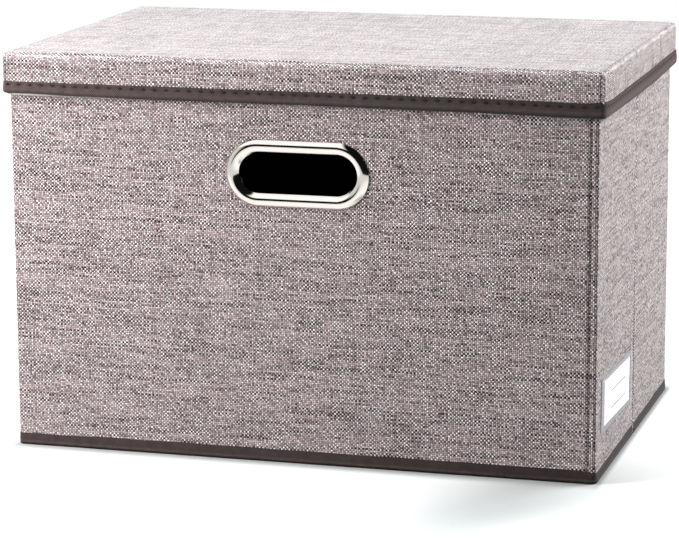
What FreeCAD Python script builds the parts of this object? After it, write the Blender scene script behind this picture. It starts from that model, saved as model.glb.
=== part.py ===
import FreeCAD, Part
import os

# Collapsible storage bin: folding walls and base, a lift-off lid, two oval handles and a label pocket.
# Millimetres, +Z up. The origin is the middle of the footprint, on the floor. The front faces -Y.

# Driving dimensions of the whole bin
body_width = 450.0  # outside, along X
body_depth = 295.0  # outside, along Y
overall_height = 304.0  # floor to the top of the lid
corner_radius = 2.5  # outside, at the four upright corners

# Layers of a wall, from the outside in
cover_thickness = 0.8
board_thickness = 2.0
lining_thickness = 0.4

# Layers of the folding base, from the floor up
base_cloth_thickness = 0.6
base_board_thickness = 2.0
base_lining_thickness = 0.4
gusset_thickness = 0.6
gusset_lift = 0.1  # the gusset's underside above the floor

# Bindings at the foot and the rim of the walls
foot_binding_height = 9.0
foot_binding_thickness = 1.0
hem_thickness = 0.6  # the part of the foot binding that turns under the wall
rim_binding_height = 10.0
rim_binding_thickness = 0.5

# Folds
fold_gap = 0.3  # between two panels that meet at a fold line
raised_base_gap = 0.3  # between a raised half of the base and the wall behind it
gusset_room = 1.1  # between a raised half of the base and the folded side, where the gusset lies
binding_relief = 1.5  # the rim binding's inner leaf stops this far from a corner's fold line
mitre_margin = 1.0  # how much further in than the fold needs the base's mitred ends are

# Lid
lid_cover_thickness = 0.8
lid_board_thickness = 2.4
lid_lining_thickness = 0.4
skirt_height = 32.5  # lid top to the lower edge of its binding
skirt_board_thickness = 1.6
skirt_lining_thickness = 0.6
skirt_gap = 1.2  # between the skirt and the walls
lid_seat_gap = 0.2  # between the lid's underside and the rim
lid_corner_radius = 7.0
lid_edge_radius = 3.0
lid_binding_height = 10.5
lid_binding_thickness = 0.5
lid_binding_inner_thickness = 0.4

# Oval handles
handle_drop = 51.5  # lower edge of the lid's skirt down to the handle's centre
handle_straight = 59.5  # straight run between the two round ends
handle_outer_half = 25.0  # half of the ring's outside height
handle_inner_half = 15.5  # half of the finger hole's height
ring_rise = 3.4  # crown of the ring above the cloth
ring_inner_rise = 0.8  # the ring's height above the cloth at the finger hole
collar_thickness = 0.8
collar_clearance = 0.1  # between the collar and the hole in the wall
backing_half = 22.0  # half of the backing ring's outside height
backing_thickness = 1.0
backing_clearance = 0.05  # between the collar and the backing ring
lip_width = 1.2  # the collar's turned lip, over the backing ring
lip_thickness = 0.6

# Label card and its pocket, on the front half of the right side
card_width = 102.0
card_height = 34.0
card_thickness = 0.3
card_seam_distance = 17.0  # from the middle seam to the card
card_foot = 33.5  # floor to the card's lower edge
card_clearance = 0.1  # in front of and behind the card
card_side_clearance = 0.5
film_thickness = 0.3
pocket_front_border = 12.0
pocket_seam_border = 9.0
pocket_foot_border = 3.0
pocket_head_overlap = 4.0  # the film reaches this far above the card

clip_margin = 12.0  # how far a cutting block reaches past what it cuts

# Positions that follow from these
wall_thickness = cover_thickness + board_thickness + lining_thickness
base_thickness = base_cloth_thickness + base_board_thickness + base_lining_thickness
half_width = body_width / 2
half_depth = body_depth / 2
inner_x = half_width - wall_thickness
inner_y = half_depth - wall_thickness
base_axis_y = inner_y - raised_base_gap - base_thickness
corner_axis_y = base_axis_y - gusset_room
base_edge_y = base_axis_y - hem_thickness - fold_gap
hem_edge_y = base_edge_y + fold_gap
lid_thickness = lid_cover_thickness + lid_board_thickness + lid_lining_thickness
rim_z = overall_height - lid_thickness - lid_seat_gap
panel_top = rim_z - rim_binding_thickness
skirt_foot = overall_height - skirt_height
handle_height = skirt_foot - handle_drop
lid_board_z = overall_height - lid_cover_thickness - lid_board_thickness
skirt_thickness = lid_cover_thickness + skirt_board_thickness + skirt_lining_thickness
lid_overhang = skirt_gap + skirt_thickness

parts = {}


def block(x0, x1, y0, y1, z0, z1):
    """A box between two corners."""
    return Part.makeBox(x1 - x0, y1 - y0, z1 - z0, FreeCAD.Vector(x0, y0, z0))


def rounded_block(reach_x, reach_y, radius, bottom, top):
    """A box centred on the origin in plan, with its upright edges rounded."""
    solid = block(-reach_x, reach_x, -reach_y, reach_y, bottom, top)
    if radius <= 0:
        return solid
    upright = [e for e in solid.Edges if abs(e.tangentAt(e.FirstParameter).z) > 0.5]
    return solid.makeFillet(radius, upright)


def plan_block(points, bottom, top):
    """An upright prism over a polygon in plan."""
    corners = [FreeCAD.Vector(x, y, bottom) for x, y in points]
    face = Part.Face(Part.makePolygon(corners + corners[:1]))
    return face.extrude(FreeCAD.Vector(0, 0, top - bottom))


def flip_x(shape):
    """The same piece on the other side, left for right."""
    return shape.mirror(FreeCAD.Vector(0, 0, 0), FreeCAD.Vector(1, 0, 0))


def flip_y(shape):
    """The same piece at the other end, front for rear."""
    return shape.mirror(FreeCAD.Vector(0, 0, 0), FreeCAD.Vector(0, 1, 0))


def both_sides(shape):
    """A piece and its mirror image, as two solids."""
    return Part.makeCompound([shape, flip_x(shape)])


def wall_band(outer_inset, inner_inset, bottom, top):
    """The band of the four walls between two depths below their outer faces."""
    outer = rounded_block(
        half_width - outer_inset, half_depth - outer_inset, corner_radius - outer_inset, bottom, top
    )
    inner = rounded_block(
        half_width - inner_inset, half_depth - inner_inset, corner_radius - inner_inset, bottom, top
    )
    return outer.cut(inner)


def rear_zone():
    """The space of the back wall and its two returns, which end at the corner fold lines."""
    reach_x = half_width + clip_margin
    return block(
        -reach_x, reach_x, corner_axis_y + fold_gap / 2, half_depth + clip_margin, 0, overall_height
    )


def side_zone():
    """The space of the rear half of the right side, between its two fold lines."""
    return block(
        inner_x - clip_margin,
        half_width + clip_margin,
        fold_gap / 2,
        corner_axis_y - fold_gap / 2,
        0,
        overall_height,
    )


def oval_sweep(section_face):
    """Carries a section, drawn above the handle's centre at X = 0, round the oval of the handle."""
    half = handle_straight / 2
    bar = section_face.copy()
    bar.translate(FreeCAD.Vector(-half, 0, 0))
    bar = bar.extrude(FreeCAD.Vector(handle_straight, 0, 0))
    end = section_face.copy()
    end.translate(FreeCAD.Vector(half, 0, 0))
    end = end.revolve(FreeCAD.Vector(half, 0, handle_height), FreeCAD.Vector(0, 1, 0), 180)
    centre = FreeCAD.Vector(0, 0, handle_height)
    lower_bar = bar.mirror(centre, FreeCAD.Vector(0, 0, 1))
    return bar.fuse([lower_bar, end, flip_x(end)]).removeSplitter()


def oval_band(inner_half, outer_half, near_y, far_y):
    """A flat oval ring, between two heights from the handle's centre line."""
    corners = [
        FreeCAD.Vector(0, near_y, handle_height + inner_half),
        FreeCAD.Vector(0, near_y, handle_height + outer_half),
        FreeCAD.Vector(0, far_y, handle_height + outer_half),
        FreeCAD.Vector(0, far_y, handle_height + inner_half),
    ]
    return oval_sweep(Part.Face(Part.makePolygon(corners + corners[:1])))


def handle_hole():
    """The hole for the handle's collar, through every layer of the wall."""
    half = handle_inner_half + collar_thickness + collar_clearance
    near_y = inner_y - clip_margin
    length_y = wall_thickness + 2 * clip_margin
    middle = block(
        -handle_straight / 2,
        handle_straight / 2,
        near_y,
        near_y + length_y,
        handle_height - half,
        handle_height + half,
    )
    end_centre = FreeCAD.Vector(handle_straight / 2, near_y, handle_height)
    end = Part.makeCylinder(half, length_y, end_centre, FreeCAD.Vector(0, 1, 0))
    return middle.fuse([end, flip_x(end)]).removeSplitter()


def handle_ring():
    """The crowned metal ring, its collar through the wall and the lip turned over the backing ring."""

    def at(half_height, depth):
        return FreeCAD.Vector(0, half_depth - depth, handle_height + half_height)

    collar_half = handle_inner_half + collar_thickness
    lip_start = wall_thickness + backing_thickness
    lip_end = lip_start + lip_thickness
    crown = at((handle_inner_half + handle_outer_half) / 2, -ring_rise)
    edge = at(handle_outer_half, 0)
    mouth = at(handle_inner_half, -ring_inner_rise)
    outline = [
        mouth,
        at(handle_inner_half, lip_end),
        at(collar_half + lip_width, lip_end),
        at(collar_half + lip_width, lip_start),
        at(collar_half, lip_start),
        at(collar_half, 0),
        edge,
    ]
    edges = [Part.makeLine(a, b) for a, b in zip(outline, outline[1:])]
    edges.append(Part.Arc(edge, crown, mouth).toShape())
    return oval_sweep(Part.Face(Part.Wire(edges)))


def handle_backing():
    """The flat ring inside the wall that the collar's lip holds."""
    collar_half = handle_inner_half + collar_thickness
    near_y = inner_y - backing_thickness
    return oval_band(collar_half + backing_clearance, backing_half, near_y, inner_y)


def rim_binding():
    """The tape folded over the top edge of all four walls, its inner leaf cut away at the corners."""
    foot = rim_z - rim_binding_height
    tape = wall_band(-rim_binding_thickness, wall_thickness + rim_binding_thickness, foot, rim_z)
    tape = tape.cut(wall_band(0, wall_thickness, foot, panel_top))
    relief = block(
        inner_x - clip_margin, inner_x, corner_axis_y - binding_relief, inner_y, foot, rim_z
    )
    relief = both_sides(relief)
    return tape.cut([relief, flip_y(relief)])


def foot_binding():
    """The tape round the foot of all four walls, turned under the walls as a hem."""
    leaf = wall_band(-foot_binding_thickness, 0, 0, foot_binding_height)
    turned = wall_band(-foot_binding_thickness, wall_thickness, 0, hem_thickness)
    return leaf.fuse(turned).removeSplitter()


def base_hem():
    """The hem's inward edge, which closes the floor between the back wall and the base."""
    return block(-inner_x, inner_x, hem_edge_y, inner_y, 0, hem_thickness)


def wall_layer(outer_inset, thickness):
    """One layer of the four walls, from the hem to the rim."""
    return wall_band(outer_inset, outer_inset + thickness, hem_thickness, panel_top)


def make_front_and_back():
    """Every layer of the back wall, and its mirror image as the front wall."""
    zone = rear_zone()
    hole = handle_hole()
    middle_layer = wall_layer(cover_thickness, board_thickness).common(zone)
    board_space = block(
        -inner_x, inner_x, inner_y, half_depth, hem_thickness, panel_top
    )
    hem = base_hem()
    pieces = {
        "cover": wall_layer(0, cover_thickness).common(zone).cut(hole),
        "board": middle_layer.common(board_space).cut(hole),
        "corner_seams": middle_layer.cut(board_space),
        "lining": wall_layer(cover_thickness + board_thickness, lining_thickness)
        .common(zone)
        .cut(hole),
        "rim_binding": rim_binding().common(zone),
        "foot_binding": foot_binding().common(zone).fuse(hem).removeSplitter(),
        "handle_ring": handle_ring(),
        "handle_backing": handle_backing(),
    }
    for name, shape in pieces.items():
        parts["back_" + name] = shape
        parts["front_" + name] = flip_y(shape)


def make_side_halves():
    """Every layer of the rear half of the right side, mirrored to the other three side halves."""
    zone = side_zone()
    pieces = {
        "cover": wall_layer(0, cover_thickness).common(zone),
        "board": wall_layer(cover_thickness, board_thickness).common(zone),
        "lining": wall_layer(cover_thickness + board_thickness, lining_thickness).common(zone),
        "rim_binding": rim_binding().common(zone),
        "foot_binding": foot_binding().common(zone),
    }
    for name, shape in pieces.items():
        parts["right_rear_" + name] = shape
        parts["left_rear_" + name] = flip_x(shape)
        parts["right_front_" + name] = flip_y(shape)
        parts["left_front_" + name] = flip_x(flip_y(shape))


def make_base():
    """The rear half of the base with mitred ends and cloth gussets, mirrored to the front half."""
    seam_y = fold_gap / 2

    def mitre_x(y):
        return inner_x - mitre_margin - (base_axis_y - y)

    board_plan = [
        (mitre_x(base_edge_y), base_edge_y),
        (mitre_x(seam_y), seam_y),
        (-mitre_x(seam_y), seam_y),
        (-mitre_x(base_edge_y), base_edge_y),
    ]
    gusset_x = inner_x - fold_gap
    gusset_plan = [
        (mitre_x(base_edge_y), base_edge_y),
        (mitre_x(seam_y), seam_y),
        (gusset_x, seam_y),
        (gusset_x, base_edge_y),
    ]
    board_z = base_cloth_thickness
    lining_z = board_z + base_board_thickness
    gusset = plan_block(gusset_plan, gusset_lift, gusset_lift + gusset_thickness)
    pieces = {
        "cloth": plan_block(board_plan, 0, board_z),
        "board": plan_block(board_plan, board_z, lining_z),
        "lining": plan_block(board_plan, lining_z, base_thickness),
        "gussets": both_sides(gusset),
    }
    for name, shape in pieces.items():
        parts["base_rear_" + name] = shape
        parts["base_front_" + name] = flip_y(shape)


def lid_block(inset, bottom, top, edge_radius=0.0):
    """The lid's outline in plan, inset, with its top edge rounded where a radius is given."""
    reach_x = half_width + lid_overhang - inset
    reach_y = half_depth + lid_overhang - inset
    solid = rounded_block(reach_x, reach_y, lid_corner_radius - inset, bottom, top)
    if edge_radius <= 0:
        return solid
    top_edges = [e for e in solid.Edges if abs(e.BoundBox.ZMin - top) < 0.01]
    return solid.makeFillet(edge_radius, top_edges)


def make_lid():
    """The cover, boards, lining and edge binding of the lid."""
    cloth_foot = skirt_foot + lid_binding_thickness
    board_inset = lid_cover_thickness
    lining_inset = board_inset + skirt_board_thickness
    lining_top = lid_board_z

    inside_cover = lid_block(
        board_inset,
        cloth_foot,
        overall_height - lid_cover_thickness,
        lid_edge_radius - lid_cover_thickness,
    )
    cover = lid_block(0, cloth_foot, overall_height, lid_edge_radius)
    parts["lid_cover"] = cover.cut(inside_cover)

    top_slab = lid_block(0, lid_board_z, overall_height)
    parts["lid_top_board"] = inside_cover.common(top_slab)

    skirt = lid_block(board_inset, cloth_foot, lid_board_z)
    skirt = skirt.cut(lid_block(lining_inset, cloth_foot, lid_board_z))
    straight_x = half_width + lid_overhang - lid_corner_radius
    straight_y = half_depth + lid_overhang - lid_corner_radius
    far = half_width + clip_margin
    across = block(-straight_x, straight_x, -far, far, 0, overall_height)
    along = block(-far, far, -straight_y, straight_y, 0, overall_height)
    parts["lid_skirt_boards"] = Part.makeCompound(
        skirt.common(across).Solids + skirt.common(along).Solids
    )

    lining = lid_block(lining_inset, cloth_foot, lining_top)
    hollow = lid_block(skirt_thickness, cloth_foot, lining_top - lid_lining_thickness)
    parts["lid_lining"] = lining.cut(hollow)

    tape_top = skirt_foot + lid_binding_height
    tape = lid_block(-lid_binding_thickness, skirt_foot, tape_top)
    tape = tape.cut(lid_block(skirt_thickness + lid_binding_inner_thickness, skirt_foot, tape_top))
    folded_in = lid_block(0, cloth_foot, tape_top)
    folded_in = folded_in.cut(lid_block(skirt_thickness, cloth_foot, tape_top))
    parts["lid_binding"] = tape.cut(folded_in)


def make_label():
    """The writing card and the clear pocket that holds it against the right side."""
    card_x = half_width + card_clearance
    card_rear = -card_seam_distance
    card_front = card_rear - card_width
    card_head = card_foot + card_height
    parts["label_card"] = block(
        card_x, card_x + card_thickness, card_front, card_rear, card_foot, card_head
    )

    space_depth = card_thickness + 2 * card_clearance
    pocket = block(
        half_width,
        half_width + space_depth + film_thickness,
        card_front - pocket_front_border,
        card_rear + pocket_seam_border,
        card_foot - pocket_foot_border,
        card_head + pocket_head_overlap,
    )
    card_space = block(
        half_width,
        half_width + space_depth,
        card_front - card_side_clearance,
        card_rear + card_side_clearance,
        card_foot - card_clearance,
        card_head + clip_margin,
    )
    parts["label_pocket"] = pocket.cut(card_space)


make_front_and_back()
make_side_halves()
make_base()
make_lid()
make_label()

os.makedirs("parts", exist_ok=True)
for name, shape in parts.items():
    if not shape.isValid():
        raise ValueError(name + " isn't a valid shape")
    shape.exportStep("parts/" + name + ".step")
    print(name, len(shape.Solids), "solids", round(shape.Volume / 1000, 2), "cm3")
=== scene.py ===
import math

import bmesh
import bpy
from mathutils import Matrix, Vector


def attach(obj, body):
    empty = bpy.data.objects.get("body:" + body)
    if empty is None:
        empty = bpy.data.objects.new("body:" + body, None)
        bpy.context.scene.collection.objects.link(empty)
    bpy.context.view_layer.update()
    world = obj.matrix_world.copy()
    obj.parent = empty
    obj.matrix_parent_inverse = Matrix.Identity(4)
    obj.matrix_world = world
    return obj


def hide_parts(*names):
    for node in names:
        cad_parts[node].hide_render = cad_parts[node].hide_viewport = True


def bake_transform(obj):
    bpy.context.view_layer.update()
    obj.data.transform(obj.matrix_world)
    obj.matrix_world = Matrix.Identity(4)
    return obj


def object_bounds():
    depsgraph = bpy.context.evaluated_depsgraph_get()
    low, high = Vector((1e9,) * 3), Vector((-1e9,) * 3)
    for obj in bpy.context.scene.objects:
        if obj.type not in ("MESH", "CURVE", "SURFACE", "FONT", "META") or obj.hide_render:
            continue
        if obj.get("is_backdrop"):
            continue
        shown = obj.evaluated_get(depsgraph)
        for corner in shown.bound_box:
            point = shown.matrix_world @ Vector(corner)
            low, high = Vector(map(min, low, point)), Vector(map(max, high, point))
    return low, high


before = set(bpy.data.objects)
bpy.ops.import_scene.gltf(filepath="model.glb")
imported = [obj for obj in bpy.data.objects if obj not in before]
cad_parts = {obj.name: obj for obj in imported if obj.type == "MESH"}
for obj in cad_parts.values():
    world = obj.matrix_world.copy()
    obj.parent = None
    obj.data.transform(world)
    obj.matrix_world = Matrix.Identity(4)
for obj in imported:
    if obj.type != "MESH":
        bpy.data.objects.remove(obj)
cad_low, cad_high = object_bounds()

# Lengths are in millimetres, from the middle of the footprint on the floor, with the front facing -Y.
MM = 0.001
HALF_X = 225.0
HALF_Y = 147.5
COVER = 0.8  # the cover cloth's thickness, and the lining's
LINING = 0.4
WALL = 3.2
LEAST_RADIUS = 0.3
# How round the upright corners are: front left, front right, rear right, rear left
WALL_RADII = (1.5, 1.1, 1.5, 1.5)
FOOT_RADII = (3.0, 5.0, 3.0, 3.0)
LID_TOP_RADII = (1.8, 1.2, 5.0, 4.5)
LID_FOOT_RADII = (3.0, 3.0, 3.6, 4.2)
LID_TAPE_RADII = (3.6, 3.8, 4.2, 4.8)
PANEL_TOP = 299.7
RIM = 300.2
HEM = 0.6
CORNER_FOLD = 7.6  # from the sharp corner to the fold line, along the side
SEAM_IN = 5.6  # from the sharp corner to the stitched seam, along the front or the back
SEAM_SIDE = 6.0  # half of the strip of cloth that bends at a side's middle
FOLD_GAP = 0.15
BEND = 2.6  # half of the width over which cloth bends at a corner's fold line
FOLD_Y = HALF_Y - CORNER_FOLD

LID_X = 229.2
LID_Y = 151.7
LID_TOP = 304.0
LID_FOOT = 271.5
LID_UNDERSIDE = 300.4
SKIRT = 3.0

HANDLE_Z = 220.0
HANDLE_STRAIGHT = 59.5
HOLE_HALF = 16.4
CUTTER_HALF = 40.0  # half the length of the shape that cuts the hole
RING_IN = 15.5
RING_OUT = 25.0

# Places along the foot of the walls, counter-clockwise from the front left corner
WIDTH = 2 * HALF_X
DEPTH = 2 * HALF_Y
RIGHT_FRONT_CORNER = WIDTH
RIGHT_REAR_CORNER = WIDTH + DEPTH
LEFT_REAR_CORNER = 2 * WIDTH + DEPTH
AROUND = 2 * (WIDTH + DEPTH)
CORNERS = (0.0, RIGHT_FRONT_CORNER, RIGHT_REAR_CORNER, LEFT_REAR_CORNER)
RIGHT_MIDDLE = WIDTH + HALF_Y
LEFT_MIDDLE = AROUND - HALF_Y
FRONT_SEAM = RIGHT_FRONT_CORNER - SEAM_IN
RIGHT_REAR_SEAM = RIGHT_REAR_CORNER + SEAM_IN
LEFT_REAR_SEAM = LEFT_REAR_CORNER - SEAM_IN

WHITE = (1, 1, 1, 1)
LOOKS = {}  # the materials by name


# Materials
class Wire:
    """What a node gives out. Arithmetic on it adds Math nodes."""

    def __init__(self, graph, socket):
        self.graph = graph
        self.socket = socket

    def __add__(self, other):
        return self.graph.math("ADD", self, other)

    def __sub__(self, other):
        return self.graph.math("SUBTRACT", self, other)

    def __rsub__(self, other):
        return self.graph.math("SUBTRACT", other, self)

    def __mul__(self, other):
        return self.graph.math("MULTIPLY", self, other)

    def __truediv__(self, other):
        return self.graph.math("DIVIDE", self, other)


class Graph:
    """Short calls for building the nodes of a material or of the world."""

    def __init__(self, owner, shader="Principled BSDF"):
        owner.use_nodes = True
        self.tree = owner.node_tree
        self.shader = self.tree.nodes[shader]

    def node(self, kind, values=(), out=0, **settings):
        """Adds a node, sets or links its inputs, and gives one of its outputs."""
        made = self.tree.nodes.new(kind)
        for key, value in settings.items():
            setattr(made, key, value)
        for key, value in values.items() if isinstance(values, dict) else enumerate(values):
            self.feed(made.inputs[key], value)
        return Wire(self, made.outputs[out])

    def feed(self, socket, value):
        if isinstance(value, Wire):
            self.tree.links.new(value.socket, socket)
        else:
            socket.default_value = value

    def math(self, operation, *values, clamp=False):
        return self.node("ShaderNodeMath", values, operation=operation, use_clamp=clamp)

    def most(self, a, b):
        return self.math("MAXIMUM", a, b)

    def remap(self, value, low, high, to_low, to_high, curve="LINEAR"):
        return self.node("ShaderNodeMapRange", (value, low, high, to_low, to_high), interpolation_type=curve)

    def ramp(self, *values):
        """A value carried from one range to another along an S-shaped curve."""
        return self.remap(*values, curve="SMOOTHSTEP")

    def noise(self, vector, scale, detail=2.0, rough=0.5):
        values = {"Vector": vector, "Scale": scale, "Detail": detail, "Roughness": rough}
        return self.node("ShaderNodeTexNoise", values)

    def spread(self, noise, low, high):
        """The middle of a noise's range, stretched to run from low to high."""
        return self.remap(noise, 0.3, 0.7, low, high)

    def vector(self, x, y, z=0.0):
        return self.node("ShaderNodeCombineXYZ", (x, y, z))

    def parts(self, vector):
        return [self.node("ShaderNodeSeparateXYZ", (vector,), out=k) for k in range(3)]

    def random(self, x, y):
        values = {"Vector": self.vector(x, y)}
        return self.node("ShaderNodeTexWhiteNoise", values, "Value", noise_dimensions="2D")

    def mix(self, share, a, b):
        return self.node("ShaderNodeMix", {0: share, 6: a, 7: b}, 2, data_type="RGBA")

    def scaled(self, colour, factor):
        """A colour times a number."""
        return self.node("ShaderNodeVectorMath", {0: colour, "Scale": factor}, operation="SCALE")

    def attribute(self, name):
        return self.node("ShaderNodeAttribute", out="Fac", attribute_name=name)

    def ray(self, kind):
        """1 where a ray of that kind arrives, 0 for other rays."""
        return self.node("ShaderNodeLightPath", out=f"Is {kind} Ray")

    def place(self, kind):
        return self.node("ShaderNodeTexCoord", out=kind)

    def weave_place(self):
        """The piece's cloth coordinates, in millimetres."""
        u, v, _ = self.parts(self.node("ShaderNodeUVMap", uv_map="weave"))
        return u * 1000.0, v * 1000.0

    def bump(self, height, distance):
        """Relief of a height given in millimetres."""
        values = {"Height": height, "Distance": distance * MM, "Strength": 1.0}
        self.set(Normal=self.node("ShaderNodeBump", values))

    def set(self, **values):
        for name, value in values.items():
            self.feed(self.shader.inputs[name.replace("_", " ")], value)


def new_look(name):
    LOOKS[name] = bpy.data.materials.new(name)
    return Graph(LOOKS[name])


def rgb(red, green, blue):
    """A colour in linear light from the 0 to 255 values that a screen shows."""

    def linear(value):
        value /= 255
        return value / 12.92 if value <= 0.04045 else ((value + 0.055) / 1.055) ** 2.4

    return (linear(red), linear(green), linear(blue), 1.0)


def woven(name, pitch, light, dark, gap_shade_colour, spread, gap_shade, heather, rough, relief, sheen=0.0):
    """A plain weave of upright and level threads, each with slubs and a tone of its own."""
    g = new_look(name)
    u, v = g.weave_place()
    place = g.vector(u, v)
    wander = g.remap(g.noise(place, 0.045, 1.0), 0, 1, -0.5, 0.5)
    drift = g.remap(g.noise(g.vector(v, u), 0.038, 1.0), 0, 1, -0.5, 0.5)
    wobble = g.remap(g.noise(place, 0.3, 1.0), 0, 1, -0.3, 0.3)
    across = u / pitch[0] + (wander + wobble)
    along = v / pitch[1] + (drift - wobble)
    column = g.math("FLOOR", across)
    row = g.math("FLOOR", along)
    x = g.math("FRACT", across) - 0.5
    y = g.math("FRACT", along) - 0.5
    over = g.math("GREATER_THAN", g.math("FLOORED_MODULO", column + row, 2.0), 0.5)

    def height(side, length):
        """How high a thread lies: round across it and arched along it."""
        return g.math("MULTIPLY", 1.0 - side * side * 3.6, 1.0 - length * length * 2.4, clamp=True)

    def tone(thread, distance, seed, own, long_slub, short_slub):
        """A thread's shade: its own, with slubs of about 30 mm and of about 3 mm."""
        shade = (g.random(thread, seed) - 0.5) * own
        for frequency, depth, offset in ((0.035, long_slub, 4.5), (0.3, short_slub, 9.5)):
            spot = g.vector(thread * 5.17, distance * frequency, seed + offset)
            shade = shade + g.remap(g.noise(spot, 1.0, 1.0), 0.33, 0.67, -depth, depth)
        return g.remap(shade, -1, 1, 0, 1)

    warp = g.mix(tone(column, v, 3.0, 0.3, 0.5, 0.25), *light)
    weft = g.mix(tone(row, u, 8.0, 0.55, 0.9, 0.5), *dark)
    rise = height(x, y) * (1.0 - over) + height(y, x) * over
    # Painted light: on the lid's top the weave's gaps fill in and its crossings even out, so it reads lighter
    # and flatter
    pressed = g.attribute("pressed")
    # Painted shade: the weave darkens towards the gap colour between its threads
    filled = g.remap(rise, 0, 0.8, gap_shade, 1.0)
    filled = filled + (1.0 - filled) * (pressed * 0.35)
    colour = g.mix(filled, gap_shade_colour, g.mix(over, warp, weft))
    beside = g.random(column + 1.0, row) + g.random(column, row + 1.0)
    uneven = (g.random(column, row) - beside * 0.5) * (1.0 - pressed)
    speck = g.remap(uneven, -1, 1, 1 - spread, 1 + spread)
    blotch = g.spread(g.noise(place, 0.11, 3.0, 0.6), 1 - heather, 1 + heather)
    # Painted light and shade: each point's painted shading darkens the cloth in seams, creases and notches
    # and lightens it on ridges.
    painted_tone = g.remap(g.attribute("wear"), -1, 1, 0.5, 1.5)
    fibre = g.noise(place, 3.0, 2.0)
    g.set(Base_Color=g.scaled(colour, speck * (blotch * painted_tone)), Sheen_Weight=sheen, Specular_IOR_Level=0.1)
    g.set(Roughness=g.remap(fibre, 0.2, 0.8, rough - 0.08, rough + 0.08))
    g.bump(rise + fibre * 0.25, relief)


def ribbed_tape(name, light, dark, pitch, relief):
    """Grosgrain tape: fine cross ribs with a dotted weave, and painted shade and highlight from each point's
    painted shading.
    """
    g = new_look(name)
    u, v = g.weave_place()
    place = g.vector(u, v)
    dots = g.math("SINE", u * (math.tau / pitch)) * g.math("SINE", v * (math.tau / (pitch * 1.3)))
    rubbed = g.noise(place, 0.16, 3.0, 0.6)
    fibre = g.noise(place, 2.2, 2.0)
    share = g.remap(dots, -1, 1, -0.1, 0.85) + g.spread(rubbed, -0.2, 0.2) + g.spread(fibre, -0.12, 0.12)
    # Painted light and shade: each point's painted shading darkens or lightens the tape.
    painted_tone = g.remap(g.attribute("wear"), -1, 1, 0.2, 1.8)
    g.set(Base_Color=g.scaled(g.mix(share, dark, light), painted_tone), Roughness=g.spread(rubbed, 0.54, 0.7))
    g.set(Sheen_Weight=0.05, Specular_IOR_Level=0.3)
    g.bump(dots + fibre, relief)


def pressed_cloth(name, light, dark):
    """Non-woven lining cloth: matted fibres under a grid of pressed dimples."""
    g = new_look(name)
    u, v = g.weave_place()
    place = g.vector(u, v)
    dimple = g.math("SINE", (u + v) * 2.6) * g.math("SINE", (u - v) * 2.6)
    dimple = g.math("SMOOTH_MAX", dimple, 0.0, 0.4)
    matted = g.noise(place, 1.3, 4.0, 0.7)
    share = matted * 0.7 + g.spread(g.noise(place, 0.05, 3.0), -0.1, 0.3)
    g.set(Base_Color=g.mix(share - dimple * 0.35, dark, light), Roughness=g.spread(matted, 0.8, 0.95))
    g.bump(matted - dimple, 0.2)


def pulp_board(name, light, dark, flecks):
    """Pressed pulp board with flecks."""
    g = new_look(name)
    place = g.place("Object")
    pulp = g.noise(place, 900.0, 4.0, 0.7)
    fleck = g.remap(g.noise(place, 2600.0, 1.0), 0.66, 0.72, 0, 1)
    base = g.mix(pulp * 0.6 + g.noise(place, 30.0, 3.0) * 0.4, dark, light)
    g.set(Base_Color=g.mix(fleck * 0.5, base, flecks), Roughness=g.spread(pulp, 0.82, 0.95))
    g.bump(pulp, 0.08)


def metal(name, colour, low, high):
    """Polished or brushed metal with faint wipe marks."""
    g = new_look(name)
    place = g.place("Object")
    smear = g.noise(place, 60.0, 3.0)
    stretch = g.node("ShaderNodeMapping", {"Vector": place, "Scale": (30.0, 900.0, 900.0)})
    grain = g.noise(stretch, 1.0, 2.0)
    g.set(Base_Color=g.mix(smear, colour, [c * 0.93 for c in colour[:3]] + [1.0]), Metallic=1.0)
    g.set(Roughness=g.spread((smear + grain) * 0.5, low, high))
    g.bump(grain, 0.004)


def plain_grain(name, light, dark, scale, rough, detail=3.0, matted=0.5, relief=0.05):
    """Card, a spun thread or a printed line, with a fine uneven tone."""
    g = new_look(name)
    grain = g.noise(g.place("Object"), scale, detail, matted)
    g.set(Base_Color=g.mix(grain, dark, light), Roughness=g.spread(grain, rough - 0.06, rough + 0.06))
    g.bump(grain, relief)


def clear_film(name, tint, body, gloss):
    """Clear film: partly see-through, with a gloss that grows at a glancing angle."""
    g = new_look(name)
    haze = g.noise(g.place("Object"), 220.0, 3.0)
    g.set(Base_Color=tint, Specular_IOR_Level=gloss, Roughness=g.spread(haze, 0.1, 0.22))
    g.set(Alpha=g.spread(haze, body - 0.03, body + 0.03))
    g.bump(haze, 0.05)


LINEN_LIGHT = (rgb(198, 188, 189), rgb(255, 249, 250))
LINEN_DARK = (rgb(48, 22, 22), rgb(208, 183, 184))
# The colour the linen darkens to between its threads: painted shade
LINEN_GAP_SHADE = rgb(54, 24, 24)
woven("linen_cover", (1.45, 1.41), LINEN_LIGHT, LINEN_DARK, LINEN_GAP_SHADE, 0.85, 0.1, 0.05, 0.86, 0.45, 0.05)
BASE_LIGHT = (rgb(70, 64, 62), rgb(108, 100, 96))
BASE_DARK = (rgb(42, 38, 37), rgb(72, 66, 64))
woven("base_cloth", (0.9, 0.9), BASE_LIGHT, BASE_DARK, rgb(24, 21, 20), 0.1, 0.5, 0.08, 0.85, 0.2)
ribbed_tape("binding_tape", rgb(91, 79, 78), rgb(45, 35, 35), 1.5, 0.12)
pressed_cloth("lining_cloth", rgb(132, 122, 122), rgb(84, 76, 76))
pulp_board("greyboard", rgb(206, 203, 196), rgb(176, 172, 164), rgb(104, 98, 92))
metal("polished_metal", rgb(240, 235, 228), 0.05, 0.12)
metal("backing_metal", rgb(214, 212, 208), 0.25, 0.4)
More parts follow.
